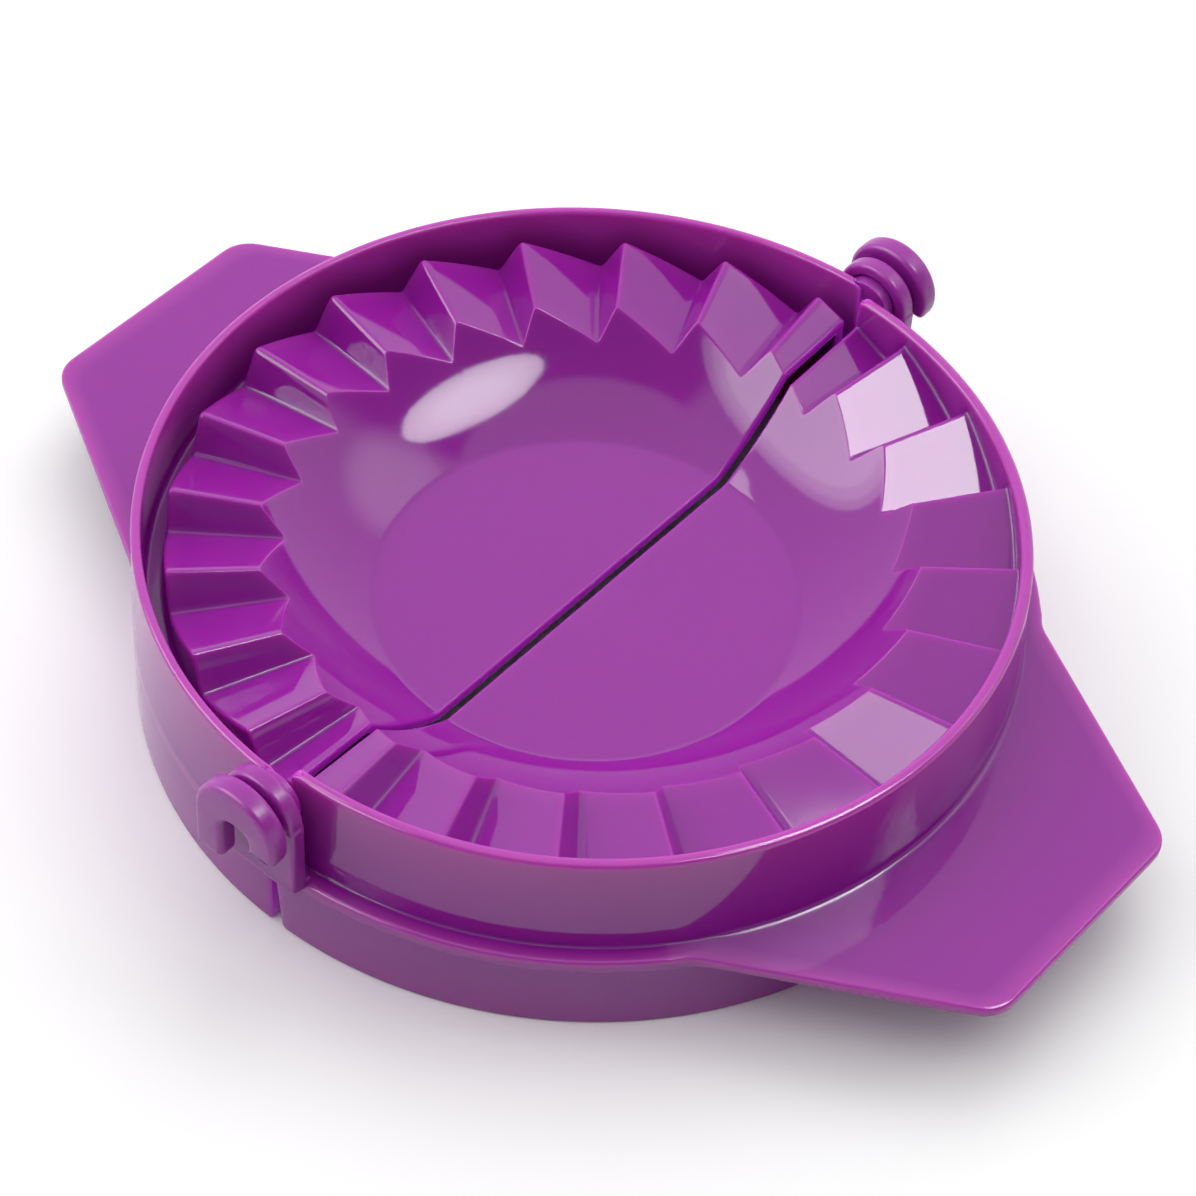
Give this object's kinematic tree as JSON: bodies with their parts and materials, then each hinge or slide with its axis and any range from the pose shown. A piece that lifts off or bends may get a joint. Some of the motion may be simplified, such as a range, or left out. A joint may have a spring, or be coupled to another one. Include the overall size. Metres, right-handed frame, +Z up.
{
  "type": "empanada press",
  "caption": "Round hinged dough press lying open: two half-round bowls with saw-toothed crimping rings, a flat handle on each, pivots at both ends of the seam.",
  "frame": {"origin": "on the table, under the middle of the hinge axis", "axes": "+X from the hinge axis towards the right half's handle, +Y along the hinge axis to the far pivot, +Z up"},
  "size_m": [0.138, 0.113, 0.0269],
  "materials": {
    "left_half_plastic": "smooth glossy moulded polypropylene, purple",
    "right_half_plastic": "smooth glossy moulded polypropylene, purple"
  },
  "bodies": {
    "left_half": {"left_bowl": "left_half_plastic", "left_crimp_ring": "left_half_plastic", "left_channel_floor": "left_half_plastic", "left_rim_wall": "left_half_plastic", "left_skirt": "left_half_plastic", "left_handle": "left_half_plastic", "near_pivot_pin": "left_half_plastic", "near_pivot_head": "left_half_plastic", "far_pivot_pin": "left_half_plastic", "far_pivot_head": "left_half_plastic"},
    "right_half": {"right_bowl": "right_half_plastic", "right_crimp_ring": "right_half_plastic", "right_rim_wall": "right_half_plastic", "right_ledge": "right_half_plastic", "right_skirt": "right_half_plastic", "right_handle": "right_half_plastic", "near_hinge_eye": "right_half_plastic", "far_hinge_eye": "right_half_plastic"}
  },
  "joints": [
    {"name": "fold", "type": "hinge", "parent": "left_half", "child": "right_half", "pos_m": [0, 0, 0.0213], "axis": [0, -1, 0], "range_deg": [0, 180]}
  ]
}
